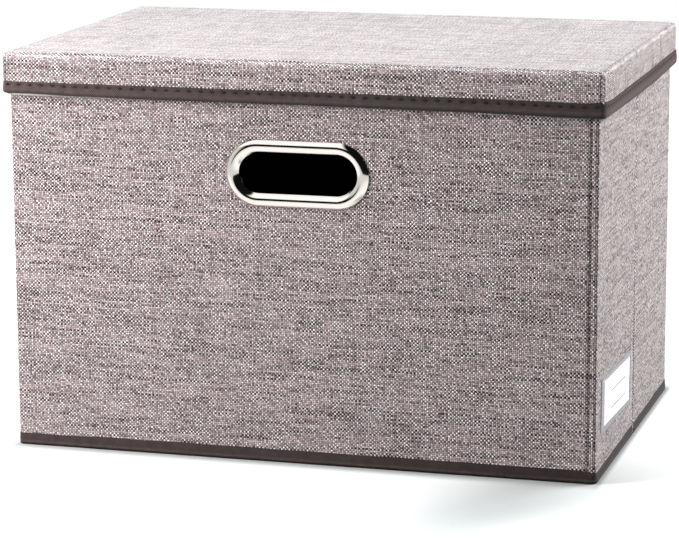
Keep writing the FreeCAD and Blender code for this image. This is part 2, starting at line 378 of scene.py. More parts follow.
plain_grain("card_paper", rgb(254, 254, 254), rgb(248, 248, 249), 1500.0, 0.56, 4.0, 0.7, 0.01)
plain_grain("card_line", rgb(150, 150, 154), rgb(118, 118, 124), 900.0, 0.6)
plain_grain("thread_dark", rgb(38, 28, 28), rgb(18, 12, 12), 1400.0, 0.8)
clear_film("clear_film", (0.93, 0.92, 0.97, 1.0), 0.08, 0.5)
clear_film("film_border", rgb(176, 168, 178), 0.5, 0.08)


# Numbers and meshes
def bell(distance, width):
    """1 at no distance, falling to 0 on both sides."""
    return math.exp(-((distance / width) ** 2))


def clamped(value):
    return min(1.0, max(0.0, value))


def span(q, place):
    """How far q is from a place round the walls, the shorter way."""
    return abs((q - place + AROUND / 2) % AROUND - AROUND / 2)


def read_table(table, q):
    """The values at q of a table that starts each entry with a place along the walls."""
    q = q % AROUND
    before, after = next(pair for pair in zip(table, table[1:]) if q <= pair[1][0])
    share = (q - before[0]) / (after[0] - before[0])
    share = share * share * (3 - 2 * share)
    return [a + (b - a) * share for a, b in zip(before[1:], after[1:])]


def level_spots(places):
    """Cloth coordinates that lie on level cloth as seen from above."""
    return [(x, y) for x, y, z in places]


def upright_spots(places):
    """Cloth coordinates that lie on upright cloth as seen from the side."""
    return [(y, z) for x, y, z in places]


def grid(rows, wide, base=0):
    """Four-sided faces between neighbouring rows of points, with wide points in each row."""
    steps = [base + i * wide + j for i in range(rows - 1) for j in range(wide - 1)]
    return [[k, k + 1, k + wide + 1, k + wide] for k in steps]


def tube(rings, wide):
    """Faces of a closed tube: rings of points that end where they begin, and a face on both ends."""
    last = (rings - 1) * wide
    return grid(rings, wide) + [list(range(wide - 1)), list(range(last, last + wide - 1))]


def both_sides(rows, wide):
    """Faces of a closed sheet: a grid of points, the same grid on its other side, and the rim."""
    level = rows * wide
    rim = list(range(wide))
    rim += [i * wide + wide - 1 for i in range(1, rows)]
    rim += [(rows - 1) * wide + j for j in range(wide - 2, -1, -1)]
    rim += [i * wide for i in range(rows - 2, 0, -1)]
    edges = [[a, b, b + level, a + level] for a, b in zip(rim, rim[1:] + rim[:1])]
    return grid(rows, wide) + grid(rows, wide, level) + edges


def joined(parts):
    """Several sets of points and faces as one."""
    points = []
    faces = []
    for part_points, part_faces in parts:
        faces += [[k + len(points) for k in face] for face in part_faces]
        points += part_points
    return points, faces


def new_mesh(name, points, faces):
    """A mesh from points in millimetres."""
    mesh = bpy.data.meshes.new(name)
    mesh.from_pydata([[c * MM for c in point] for point in points], [], faces)
    return mesh


def weld(mesh):
    """Merges points that share a place, and turns the faces outwards."""
    solid = bmesh.new()
    solid.from_mesh(mesh)
    bmesh.ops.remove_doubles(solid, verts=solid.verts, dist=1e-7)
    bmesh.ops.dissolve_degenerate(solid, edges=solid.edges, dist=1e-7)
    bmesh.ops.recalc_face_normals(solid, faces=solid.faces)
    solid.to_mesh(mesh)
    solid.free()


def smooth(mesh, sharp):
    mesh.shade_smooth()
    mesh.set_sharp_from_angle(angle=math.radians(sharp))


def new_object(name, data):
    made = bpy.data.objects.new(name, data)
    bpy.context.scene.collection.objects.link(made)
    return made


def make_piece(name, points, faces, spots, material, nodes, body, slot=None, sharp=40, **shades):
    """A piece of the scene. spots lists its points' cloth coordinates, or works them out for a face's points.

    body is what it rides on, or, at a fold, the fold's two pieces and ends, which are not used. shades gives
    each
    point a number: its painted shading, below 0 for painted shade and above 0 for a painted highlight, or,
    from 0 to 1, how far painted light lifts and evens the weave on the lid's top.
    """
    mesh = new_mesh(name, points, faces)
    for attribute, values in shades.items():
        mesh.attributes.new(attribute, "FLOAT", "POINT").data.foreach_set("value", values)
    corners = []
    for face in faces:
        corners += spots([points[k] for k in face]) if callable(spots) else [spots[k] for k in face]
    layer = mesh.uv_layers.new(name="weave")
    layer.data.foreach_set("uv", [c * MM for corner in corners for c in corner])
    weld(mesh)
    smooth(mesh, sharp)
    mesh.materials.append(LOOKS[material])
    piece = new_object(name, mesh)
    slot or material
    if nodes:
        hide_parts(*nodes)
    if isinstance(body, str):
        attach(piece, body)
    else:
        pair, start, end = body
        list(pair)
        [c * MM for c in start]
        [c * MM for c in end]
        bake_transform(piece)
    return piece


def outline_point(q, inset, half_x, half_y, radii):
    """The point and outward normal at q along a rounded rectangle, at a depth below its outer face."""
    q = q % AROUND
    ends = CORNERS[1:] + (AROUND,)
    side = next(k for k, corner in enumerate(ends) if q < corner)
    along = ((1, 0), (0, 1), (-1, 0), (0, -1))[side]
    normal = ((0, -1), (1, 0), (0, 1), (-1, 0))[side]
    middle = (CORNERS[side] + ends[side]) / 2
    half = (ends[side] - CORNERS[side]) / 2
    round_off = max(radii[side if q < middle else (side + 1) % 4] - inset, LEAST_RADIUS)
    reach = inset + round_off
    target, other = (half_x, half_y) if along[0] else (half_y, half_x)
    from_middle = q - middle
    place = from_middle + math.copysign(target - half, from_middle) * min(1, abs(from_middle) / half)
    to_corner = target - abs(place)
    if to_corner >= reach:
        level = other - inset
        return along[0] * place + normal[0] * level, along[1] * place + normal[1] * level, *normal
    turn = math.radians(45) * (1 - to_corner / reach)
    sign = math.copysign(1, from_middle)
    nx = along[0] * math.sin(turn) * sign + normal[0] * math.cos(turn)
    ny = along[1] * math.sin(turn) * sign + normal[1] * math.cos(turn)
    centre_along = sign * (target - reach)
    centre_level = other - reach
    x = along[0] * centre_along + normal[0] * centre_level + nx * round_off
    y = along[1] * centre_along + normal[1] * centre_level + ny * round_off
    return x, y, nx, ny


def wall_point(q, inset, z=RIM):
    """The walls' outline, with softer corners within a centimetre of the floor."""
    share = clamped((11 - z) / 8) ** 2
    radii = [high + (low - high) * share for high, low in zip(WALL_RADII, FOOT_RADII)]
    return outline_point(q, inset, HALF_X, HALF_Y, radii)


def stations(start, end, coarse, fine=(), fine_step=0.4, fine_reach=4.4):
    """Places from start to end, close together near the fine places."""
    count = max(1, round((end - start) / coarse))
    marks = {round(start + (end - start) * i / count, 4) for i in range(count + 1)}
    marks.update((round(start, 4), round(end, 4)))
    for centre in fine:
        steps = int(fine_reach / fine_step)
        close = [centre + i * fine_step for i in range(-steps, steps + 1)]
        marks = {m for m in marks if abs(m - centre) > fine_reach + fine_step / 2 or m in (start, end)}
        marks.update(round(m, 4) for m in close if start < m < end)
    return sorted(marks)


def swept(name, cols, section, nodes, body, closed=False, sharp=55, point=wall_point):
    """A tape carried round the walls. section gives (inset, height, painted shade or highlight) of its points
    at a place.
    """
    points, spots, painted_tone, caps = [], [], [], []
    stops = [(q, q) for q in cols] + [(cols[0], cols[0] + AROUND)] * closed
    for q, u in stops:
        ring = section(q)
        run = 0.0
        for before, spot in zip(ring[:1] + ring, ring + ring[:1]):
            run -= math.dist(before[:2], spot[:2])
            points.append((*point(q, spot[0], spot[1])[:2], spot[1]))
            spots.append((u, run))
            painted_tone.append(spot[2] if len(spot) > 2 else 0.0)
    wide = len(ring) + 1
    if not closed:
        for k in (0, len(points) - wide):
            q = spots[k][0]
            caps.append(list(range(len(points), len(points) + wide - 1)))
            points += points[k : k + wide - 1]
            spots += [(q + spot[0], spot[1]) for spot in section(q)]
            painted_tone += painted_tone[k : k + wide - 1]
    faces = grid(len(stops), wide) + caps
    return make_piece(name, points, faces, spots, "binding_tape", nodes, body, sharp=sharp, wear=painted_tone)


# The walls, in stretches
def corner_bend(wall, panel, side, end):
    """The bend at a corner's fold line. side is 1 on the right and end is 1 at the back, or else -1."""
    x = side * HALF_X
    return (wall, panel), (x, end * (FOLD_Y + BEND), 0), (x, end * (FOLD_Y - BEND), 0)


def middle_bend(name, side):
    reach = SEAM_SIDE - 0.5
    return (name + "_front", name + "_rear"), (side * HALF_X, -reach, 0), (side * HALF_X, reach, 0)


RIGHT_SEAM = (RIGHT_MIDDLE - SEAM_SIDE, RIGHT_MIDDLE + SEAM_SIDE)
LEFT_SEAM = (LEFT_MIDDLE - SEAM_SIDE, LEFT_MIDDLE + SEAM_SIDE)
FRONT_FOLDS = (RIGHT_FRONT_CORNER, RIGHT_FRONT_CORNER + CORNER_FOLD)
REAR_FOLDS = (RIGHT_REAR_CORNER, RIGHT_REAR_CORNER - CORNER_FOLD)
LEFT_FOLDS = (LEFT_REAR_CORNER, LEFT_REAR_CORNER + CORNER_FOLD)
LEFT_FRONT_FOLD = AROUND - CORNER_FOLD
# Each stretch of wall: name, where it starts and ends, its fine places, and the body that carries it or the
# fold it lies across
SECTIONS = (
    ("front", FOLD_GAP - CORNER_FOLD, FRONT_SEAM, (0.0, FRONT_SEAM), "front"),
    ("right_front", FRONT_SEAM, RIGHT_SEAM[0], FRONT_FOLDS, corner_bend("front", "right_front", 1, -1)),
    ("right_middle", *RIGHT_SEAM, (RIGHT_MIDDLE,), middle_bend("right", 1)),
    ("right_rear", RIGHT_SEAM[1], RIGHT_REAR_SEAM, REAR_FOLDS, corner_bend("back", "right_rear", 1, 1)),
    ("back", RIGHT_REAR_SEAM, LEFT_REAR_SEAM, (RIGHT_REAR_SEAM, LEFT_REAR_SEAM), "back"),
    ("left_rear", LEFT_REAR_SEAM, LEFT_SEAM[0], LEFT_FOLDS, corner_bend("back", "left_rear", -1, 1)),
    ("left_middle", *LEFT_SEAM, (LEFT_MIDDLE,), middle_bend("left", -1)),
    ("left_front", LEFT_SEAM[1], LEFT_FRONT_FOLD - FOLD_GAP, (LEFT_FRONT_FOLD,), "left_front"),
)


def stood_for(name, suffix):
    """The CAD node that a piece replaces: none at a side's middle, which belongs to both halves."""
    return [] if name.endswith("middle") else [f"{name}_{suffix}"]


def oval_path(steps, between):
    """Points and outward directions round the handle's centre line."""
    path = []
    for side in (1, -1):
        for k in range(steps + 1):
            turn = side * math.pi / 2 - math.pi * k / steps
            path.append((side * HANDLE_STRAIGHT / 2, math.cos(turn), math.sin(turn)))
        for k in range(between):
            place = 1 - 2 * (k + 1) / (between + 1)
            path.append((side * HANDLE_STRAIGHT / 2 * place, 0.0, -float(side)))
    return path


def cut_hole(piece, y):
    """Cuts the handle's oval hole out of a panel whose face is at that depth."""
    path = oval_path(32, 0)
    path.append(path[0])
    oval = [(x + ox * HOLE_HALF, HANDLE_Z + oz * HOLE_HALF) for x, ox, oz in path]
    points = [(x, y + end, z) for end in (-CUTTER_HALF, CUTTER_HALF) for x, z in oval]
    mesh = new_mesh("cutter", points, tube(2, len(path)))
    weld(mesh)
    cutter = new_object("cutter", mesh)
    change = piece.modifiers.new("hole", "BOOLEAN")
    change.object = cutter
    change.operation = "DIFFERENCE"
    change.solver = "EXACT"
    bpy.context.view_layer.update()
    done = piece.evaluated_get(bpy.context.evaluated_depsgraph_get())
    result = bpy.data.meshes.new_from_object(done)
    piece.modifiers.clear()
    piece.data = result
    bpy.data.objects.remove(cutter)
    smooth(result, 40)


WALL_SEAMS = (FRONT_SEAM, RIGHT_REAR_SEAM, LEFT_REAR_SEAM, RIGHT_MIDDLE, LEFT_MIDDLE)
NOTCH = 2.8
NOTCH_TOP = 9.0
LABEL_START = RIGHT_MIDDLE - 132.0
LABEL_END = RIGHT_MIDDLE - 7.5


def wall_painted_shading(q, z):
    """Painted shade in the notches, at each corner's turn and in its seam, and a painted highlight on the
    ridge between seam and corner.
    """
    painted_tone = 0.0
    # Painted shade on the cloth that shows in the notches
    if z < NOTCH_TOP and min(span(q, RIGHT_MIDDLE), span(q, LEFT_MIDDLE)) < NOTCH + 1:
        painted_tone = -1.0
    for corner in CORNERS[1:]:
        inward = 1 if corner == RIGHT_REAR_CORNER else -1
        # Near each corner: painted shade at the turn, a painted highlight on the ridge, painted shade in the
        # seam
        for place, reach, depth in ((1.5, 0.8, -0.7), (2.9, 0.55, 0.5), (6.0, 2.4, -0.6)):
            painted_tone += depth * bell(span(q, corner + inward * place), reach)
    return painted_tone


def swell(q, z):
    """How far the cloth stands off its board: slack, pulled in at seams, flat behind the label."""
    slack = 0.12 + 0.10 * math.sin(q * 0.031 + 1.3 * math.sin(z * 0.021)) * math.sin(z * 0.027 + 0.8)
    for seam in WALL_SEAMS:
        slack += 0.24 * bell(span(q, seam) - 2.6, 1.2) - 0.4 * bell(span(q, seam), 1.0)
    if LABEL_START < q < LABEL_END:
        slack = min(slack, 0.05)
    return slack


def cover_face(q, z):
    x, y, nx, ny = wall_point(q, 0, z)
    out = swell(q, z)
    return x + nx * out, y + ny * out, z


def layer_face(inset):
    return lambda q, z: (*wall_point(q, inset, z)[:2], z)


ROWS = stations(HEM, PANEL_TOP, 10.0)


def wall_cloth(name, suffix, cols, outer, inner, material, node, body, wear):
    """A closed sheet of cloth on a stretch of wall. outer and inner give a point for a place and a height."""
    spots = [(q, z) for q in cols for z in ROWS]
    points = [face(q, z) for face in (outer, inner) for q, z in spots]
    painted_tone = [wear(q, z) for q, z in spots] * 2
    faces = both_sides(len(cols), len(ROWS))
    nodes = stood_for(name, node)
    piece = make_piece(name + suffix, points, faces, spots * 2, material, nodes, body, wear=painted_tone)
    if name in ("front", "back"):
        cut_hole(piece, -HALF_Y if name == "front" else HALF_Y)


for name, start, end, fine, body in SECTIONS:
    cols = stations(start, end, 10.0, fine)
    layers = (cover_face, layer_face(COVER))
    wall_cloth(name, "_cloth", cols, *layers, "linen_cover", "cover", body, wall_painted_shading)
    layers = (layer_face(WALL), layer_face(WALL - LINING))
    wall_cloth(name, "_inner_cloth", cols, *layers, "lining_cloth", "lining", body, lambda q, z: 0.0)


def rim_section(q):
    """The tape over the walls' top edge, its inner leaf thin at the folding corners."""
    near = min(span(q, corner) for corner in CORNERS)
    inner = 0.08 + 0.42 * clamped((near - CORNER_FOLD - 1.5) / 2.0)
    wave = 0.06 * math.sin(q * 0.35)
    foot = RIM - 10.0
    return [
        (0.0, foot + 0.1), (-0.25, foot), (-0.5 - wave, foot + 0.5), (-0.42, foot + 1.8),
        (-0.55 - wave, foot + 3.2), (-0.5, RIM - 1.2), (-0.32, RIM - 0.3), (0.2, RIM),
        (WALL - 0.2, RIM), (WALL + inner * 0.7, RIM - 0.3), (WALL + inner, RIM - 1.2),
        (WALL + inner, foot + 3.0), (WALL + inner * 0.8, foot + 1.8), (WALL + inner, foot + 0.6),
        (WALL + 0.02, foot), (WALL, PANEL_TOP - 0.02), (0.0, PANEL_TOP - 0.02),
    ]


FOOT_HEIGHT = 9.0
# The foot tape: place along the walls, how far its top edge lies above its true line, and its painted shade,
# deepest by the front right corner and along the right side
FOOT_SHAPE = (
    (0, 0.0, 0.0), (16, 0.0, 0.0), (81, 0.8, 0.0), (210, 0.9, -0.08), (339, 0.9, -0.25),
    (404, 0.9, -0.4), (436, 1.2, -0.4), (450, 0.4, -0.35), (456, -1.2, -0.3), (520, -1.2, -0.3),
    (597, -1.0, -0.3), (700, -0.7, -0.2), (800, 0.0, 0.0), (AROUND, 0.0, 0.0),
)


def foot_section(q):
    """The tape round the foot of the walls: a rounded leaf outside, turned under the wall."""
    wave = 0.05 * math.sin(q * 0.8) + 0.04 * math.sin(q * 0.23 + 1)
    above, painted_tone = read_table(FOOT_SHAPE, q)
    # Painted shadow on the tape's end by the right side's notch
    painted_tone -= 0.9 * bell(span(q, RIGHT_MIDDLE) - NOTCH, 2.5)
    top = FOOT_HEIGHT + above + 0.15 * math.sin(q * 0.11)
    # Painted shade along the top edge and at the bottom, and a painted highlight on the bulge low down
    return [
        (0.0, top, painted_tone - 0.2), (-0.3, top + 0.05, painted_tone - 0.2), (-0.5, top - 0.5, painted_tone - 0.1),
        (-0.45 - wave, top - 1.6, painted_tone), (-0.6, top - 2.6, painted_tone - 0.05),
        (-0.85 - wave, 4.6, painted_tone - 0.1), (-0.98, 3.6, painted_tone + 0.2), (-1.0, 3.0, painted_tone + 0.8),
        (-1.0, 2.3, painted_tone + 0.7), (-0.95, 1.7, painted_tone - 0.2), (-0.8, 1.0, painted_tone - 0.8), (-0.6, 0.5, -1.0),
        (-0.1, 0.05, -1.0), (0.6, 0.0), (WALL - 0.1, 0.0), (WALL, 0.3), (WALL - 0.1, HEM), (0.0, HEM),
    ]


for name, start, end, fine, body in SECTIONS:
    cols = stations(start, end, 4.0, fine)
    swept(name + "_rim_tape", cols, rim_section, stood_for(name, "rim_binding"), body)
    if not name.endswith("middle"):
        # The foot tape runs on into the middle strip, as far as its notch
        start += NOTCH - SEAM_SIDE if start in (RIGHT_SEAM[1], LEFT_SEAM[1]) else 0
        end += SEAM_SIDE - NOTCH if end in (RIGHT_SEAM[0], LEFT_SEAM[0]) else 0
        cols = stations(start, end, 4.0, fine)
        swept(name + "_foot_tape", cols, foot_section, stood_for(name, "foot_binding"), body)

# The folded seam allowances beside the corners, as seen from above
ALLOWANCE = ((221.9, 140.15), (224.1, 140.15), (224.1, 145.6), (223.2, 146.6), (221.9, 146.6))
ALLOWANCE += ALLOWANCE[:1]
for wall, sign in (("back", 1), ("front", -1)):
    strips = []
    for side in (1, -1):
        points = [(side * x, sign * y, z) for z in (HEM, PANEL_TOP - 0.1) for x, y in ALLOWANCE]
        strips.append((points, tube(2, len(ALLOWANCE))))
    points, faces = joined(strips)
    spots = [(k, height) for height in (0, 300) for k in range(len(ALLOWANCE))] * 2
    nodes = [wall + "_corner_seams"]
    make_piece(wall + "_seam_allowances", points, faces, spots, "linen_cover", nodes, wall)


# Stitches
STITCH_STOPS = ((-0.5, 0.15, -0.3), (-0.3, 0.8, 0.5), (0.0, 1.0, 1.0), (0.3, 0.8, 0.5), (0.5, 0.15, -0.3))
STITCH_FOOT = 13.4
STITCH_HEAD = 289.0
FINE_FROM = 90.0  # where the middle stitches start to get finer, and over what height
FINE_OVER = 60.0


def stitch(centre, along, out, length, width, rise):
    """One stitch: a short, low rounded bar that dips into the cloth at both ends."""
    across = along.cross(out).normalized()
    points = []
    for place, thick, lift in STITCH_STOPS:
        middle = centre + along * (place * length) + out * (lift * rise)
        for k in (0, 1, 2, 3, 4, 5, 0):
            turn = math.tau * k / 6
            points.append(middle + (across * math.cos(turn) + out * math.sin(turn)) * (width / 2 * thick))
    return points, tube(len(STITCH_STOPS), 7)


def upright_stitches(name, places, pitch, length, width, lift, body, finer=1.0):
    """Rows of stitches up the walls. finer says how large the upper ones are beside the lower ones."""
    row = []
    for q in places:
        x, y, nx, ny = wall_point(q, 0)
        out = Vector((nx, ny, 0))
        for k in range(int((STITCH_HEAD - STITCH_FOOT) / pitch)):
            z = STITCH_FOOT + (k + 0.5) * pitch
            size = 1 + (finer - 1) * clamped((z - FINE_FROM) / FINE_OVER)
            centre = Vector((x, y, z)) + out * (lift - (1 - size) * width / 2)
            row.append(stitch(centre, Vector((0, 0, 1)), out, length * size, width * size, 0.2 * size))
    make_piece(name, *joined(row), level_spots, "thread_dark", [], body, "linen_cover")


for name, q, side in (("right", RIGHT_MIDDLE, 1), ("left", LEFT_MIDDLE, -1)):
    joint = middle_bend(name, side)
    upright_stitches(name + "_middle_stitches", (q,), 2.2, 1.3, 1.1, -0.02, joint, 0.5)
upright_stitches("front_corner_stitches", (FRONT_SEAM,), 2.4, 1.5, 0.6, -0.15, "front")
upright_stitches("back_corner_stitches", (RIGHT_REAR_SEAM, LEFT_REAR_SEAM), 2.4, 1.5, 0.6, -0.15, "back")


# The base
BASE_AXIS_Y = 141.0
BASE_EDGE_Y = 140.1
BASE_REACH = 144.2
BASE_X = 219.9
BASE_TOP = 3.0
BASE_GAP = 0.15
BASE_FLARE = 1.8 / 4.2  # how fast the cloths widen beyond the fold
BASE_WAVE = 0.06
GUSSET_STEPS = 14
GUSSET_END = 221.5
GUSSET_LEVELS = (0.7, 0.1)


def base_reach(y):
    """How far to the side the base's cloths go: mitred up to the fold line, wider beyond it."""
    beyond = y - BASE_EDGE_Y
    return BASE_X + beyond * (1 if beyond <= 0 else BASE_FLARE)


def slab(name, low, high, sign, material, nodes, body):
    """A level sheet of cloth over one half of the base, from the middle seam to the wall."""
    rows = stations(BASE_GAP, BASE_REACH, 10.0, (BASE_AXIS_Y,), 0.5, 3.0)
    shares = [i / 24 - 0.5 for i in range(25)]
    points = []
    for z, wave in ((low, 0.0), (high, BASE_WAVE)):
        for y in rows:
            for share in shares:
                x = 2 * base_reach(y) * share
                points.append((x, sign * y, z + wave * math.sin(share * 40 + y * 0.05)))
    make_piece(name, points, both_sides(len(rows), len(shares)), level_spots, material, nodes, body)


for name, wall, sign in (("base_rear", "back", 1), ("base_front", "front", -1)):
    joint = ((wall, name), (0, sign * 141.9, 0), (0, sign * 140.3, 0))
    slab(name + "_bottom_cloth", 0.0, 0.6, sign, "base_cloth", [name + "_cloth"], joint)
    joint = ((wall, name), (0, sign * BASE_REACH, 0), (0, sign * 140.6, 0))
    slab(name + "_floor_cloth", 2.6, BASE_TOP, sign, "lining_cloth", [name + "_lining"], joint)
    for side, side_name in ((1, "right"), (-1, "left")):
        points = []
        for level in GUSSET_LEVELS:
            for i in range(GUSSET_STEPS + 1):
                y = BASE_GAP + (BASE_EDGE_Y - BASE_GAP) * i / GUSSET_STEPS
                near = base_reach(y) - 0.3
                for j in range(GUSSET_STEPS + 1):
                    x = near + (GUSSET_END - near) * j / GUSSET_STEPS
                    ridge = math.sin(math.pi * j / GUSSET_STEPS)
                    lift = 0.25 * ridge * (1 + 0.6 * math.sin(y * 0.11 + j))
                    points.append((side * x, sign * y, level + lift))
        faces = both_sides(GUSSET_STEPS + 1, GUSSET_STEPS + 1)
        piece_name = f"{name}_{side_name}_gusset_cloth"
        gusset = make_piece(piece_name, points, faces, level_spots, "base_cloth", [name + "_gussets"], name)
        name + "_bottom_cloth"


# The lid
LID_SEAM_IN = 2.5
LID_SEAMS = (
    RIGHT_FRONT_CORNER - LID_SEAM_IN, RIGHT_REAR_CORNER + LID_SEAM_IN, LEFT_REAR_CORNER - LID_SEAM_IN,
    LID_SEAM_IN,
)
LID_EDGE = 4.2
LID_BEND_Z = LID_TOP - LID_EDGE  # where the skirt starts to turn over into the top
LID_LEVEL_Z = LID_TOP - 6.0  # above this height the skirt doesn't sag
LID_CLOTH_FOOT = 272.4
LID_TAPE_TOP = LID_FOOT + 10.5
CREASE = 64.0  # places round the lid's top edge, in degrees up from the skirt
RIDGE = 28.0
# How far painted light lifts and evens the weave on the lid's top
LID_PAINTED_TOP_LIGHT = 0.75
DIMPLES = 169  # one stitch about every 8.8 mm
DIMPLE_PITCH = AROUND / DIMPLES
DIMPLE_DROP = 2.9

# How far the skirt hangs below its true line: place along the walls, at the top of its tape, at its foot
SKIRT_DROP = (
    (0, -0.4, -1.8), (15, -0.4, -1.8), (60, -0.3, -0.9), (110, -0.3, -0.5), (225, -0.2, -0.5),
    (345, 0.0, 0.0), (438, 0.8, 1.4), (450, -0.2, 1.4), (462, 0.8, 1.9), (480, 1.6, 2.2),
    (520, 1.4, 2.4), (600, 1.2, 3.0), (650, 0.7, 3.0), (700, 0.4, 1.8), (745, 0.0, 1.0),
    (850, 0.0, 0.3), (1000, -0.2, -0.2), (1150, 0.2, 0.4), (1250, 0.8, 1.2), (1340, 1.0, 1.6),
    (1440, 0.4, 0.2), (AROUND, -0.4, -1.8),
)
# Place along the walls, and the painted light and shade on the lid's tape: lighter at the front's left end
# and on the right side, darker towards the front right corner
LID_TAPE_PAINTED_SHADING = (
    (0, 0.4), (225, 0.0), (380, -0.2), (446, -0.35), (456, 0.2), (475, 0.6), (1470, 0.1), (AROUND, 0.4),
)


def lid_point(q, inset, height):
    """The lid's outline: tight corners at the top that open out towards the binding."""
    share = clamped((LID_TOP - height) / (LID_TOP - LID_FOOT)) ** 2
    radii = [top + (foot - top) * share for top, foot in zip(LID_TOP_RADII, LID_FOOT_RADII)]
    x, y, nx, ny = outline_point(q, min(inset, 140), LID_X, LID_Y, radii)
    if inset > 8:
        x = max(inset - LID_X, min(LID_X - inset, x))
        y = max(inset - LID_Y, min(LID_Y - inset, y))
    return x, y, nx, ny


def lid_cols(coarse):
    steps = round(AROUND / coarse)
    marks = {round(AROUND * i / steps, 3) for i in range(steps)}
    for corner in CORNERS:
        marks = {m for m in marks if span(m, corner) > 8.2}
        marks.update(round((corner + k * 0.4) % AROUND, 3) for k in range(-20, 21))
    return sorted(marks)


def lid_waver(x, y):
    """How the lid's top lies: nearly flat, with a slow lift and fall."""
    return 0.12 * math.sin(x * 0.013 + 0.7) * math.sin(y * 0.017 + 0.4) - 0.4 * x / LID_X + 0.15


def lid_painted_shading(q, angle):
    """Painted shade in the crease along the top edge and in the corner seams, and a painted highlight on the
    ridge below it.
    """
    painted_tone = 0.95 * bell(angle - RIDGE, 15) - 0.7 * bell(angle - CREASE, 9)
    if angle < 60:
        painted_tone -= 0.9 * sum(bell(span(q, seam), 0.7) for seam in LID_SEAMS)
    return painted_tone


def tape_drop(q, z):
    """How far the lid's tape hangs below its true line at height z."""
    top, foot = read_table(SKIRT_DROP, q)
    return top + (foot - top) * (LID_TAPE_TOP - z) / (LID_TAPE_TOP - LID_FOOT)


def skirt_drop(q, z):
    """The same for the lid's cloth, which goes on above the tape."""
    if z <= LID_TAPE_TOP:
        return tape_drop(q, z)
    return read_table(SKIRT_DROP, q)[0] * clamped((LID_LEVEL_Z - z) / (LID_LEVEL_Z - LID_TAPE_TOP))


def lid_spots(places):
    """Cloth coordinates that run over the lid's top and on down each side of the skirt."""
    middle_x = sum(place[0] for place in places) / len(places)
    middle_y = sum(place[1] for place in places) / len(places)
    on_end = abs(middle_x) - LID_X > abs(middle_y) - LID_Y
    spots = []
    for x, y, z in places:
        drop = max(0.0, LID_TOP - 0.6 - z)
        if on_end:
            spots.append((x + math.copysign(drop, middle_x), y))
        else:
            spots.append((x, y + math.copysign(drop, middle_y)))
    return spots


def lid_shell(name, cols, outer, inner, at, spots, material, nodes, **shades):
    """A closed shell from two profiles carried round the lid and joined at its foot."""
    loop = cols + cols[:1]
    wide = len(loop)
    start = len(outer) * wide
    points = [at(q, *spot, profile is outer) for profile in (outer, inner) for spot in profile for q in loop]
    faces = grid(len(outer), wide) + grid(len(inner), wide, start)
    faces += [[k, k + 1, start + k + 1, start + k] for k in range(wide - 1)]
    make_piece(name, points, faces, spots, material, nodes, "lid", **shades)


def lid_cloth_point(q, inset, z, outside):
    x, y, nx, ny = lid_point(q, inset, z)
    hung = z - skirt_drop(q, z)
    if not outside:
        return x, y, hung
    out = 0.0
    if z < LID_BEND_Z + 0.01:
        share = max(0.0, math.sin(math.pi * (z - LID_TAPE_TOP) / 20.0))
        out = 0.18 * share + 0.07 * math.sin(q * 0.05) * share
        if z > LID_TAPE_TOP - 1.0:
            out -= 0.5 * sum(bell(span(q, seam), 0.8) for seam in LID_SEAMS)
    if inset > 0:
        hung += lid_waver(x, y) * min(1, inset / 5)
    return x + nx * out, y + ny * out, hung


def make_lid_cloth():
    """The lid's cloth: over the top, round the edge and down the skirt, as one closed shell."""
    outer = [(0.0, z) for z in (LID_CLOTH_FOOT, 276.0, 281.5, 283.5, 287.0, 292.0, 296.5, LID_BEND_Z)]
    for angle in range(5, 90, 5):
        turn = math.radians(angle)
        radius = LID_EDGE + 0.2 * bell(angle - RIDGE, 14) - 0.4 * bell(angle - CREASE, 8)
        outer.append((LID_EDGE - radius * math.cos(turn), LID_BEND_Z + radius * math.sin(turn)))
    outer += [(inset, LID_TOP) for inset in (LID_EDGE, 6, 10, 18, 30, 50, 75, 100, 125, LID_Y)]
    under = LID_TOP - COVER
    inner = [(COVER, z) for z in (LID_CLOTH_FOOT, 290.0, LID_TOP - 2.4)] + [(1.6, LID_TOP - 1.1)]
    inner += [(inset, under) for inset in (2.6, 30, 75, 125, LID_Y)]
    cols = lid_cols(9.0)
    painted_tone = []
    pressed = []
    for inset, z in outer:
        rise = math.degrees(math.atan2(z - LID_BEND_Z, LID_EDGE - inset))
        painted_tone += [lid_painted_shading(q, max(0, min(90, rise))) for q in cols + cols[:1]]
        # Painted light on the lid's top, growing from the crease upwards
        pressed += [LID_PAINTED_TOP_LIGHT * clamped((rise - CREASE) / 20)] * (len(cols) + 1)
    inside = [0.0] * (len(inner) * (len(cols) + 1))
    shades = {"wear": painted_tone + inside, "pressed": pressed + inside}
    look = ("linen_cover", ["lid_cover"])
    lid_shell("lid_cloth", cols, outer, inner, lid_cloth_point, lid_spots, *look, **shades)


def make_lid_lining():
    outer = [(SKIRT, z) for z in (LID_CLOTH_FOOT, 280.0, 290.0, 298.0)]
    outer += [(SKIRT + 0.3, 299.7), (SKIRT + 1.0, LID_UNDERSIDE)]
    outer += [(inset, LID_UNDERSIDE) for inset in (20, 50, 90, LID_Y)]
    inner = [(SKIRT - 0.6, z) for z in (LID_CLOTH_FOOT, 290.0, 300.0)] + [(SKIRT - 0.4, 300.7)]
    inner += [(inset, LID_UNDERSIDE + LINING) for inset in (4, 50, 90, LID_Y)]

    def at(q, inset, z, outside):
        return (*lid_point(q, inset, z)[:2], z)

    def spots(places):
        return [(x + z, y + z) for x, y, z in places]

    lid_shell("lid_inner_cloth", lid_cols(12.0), outer, inner, at, spots, "lining_cloth", ["lid_lining"])


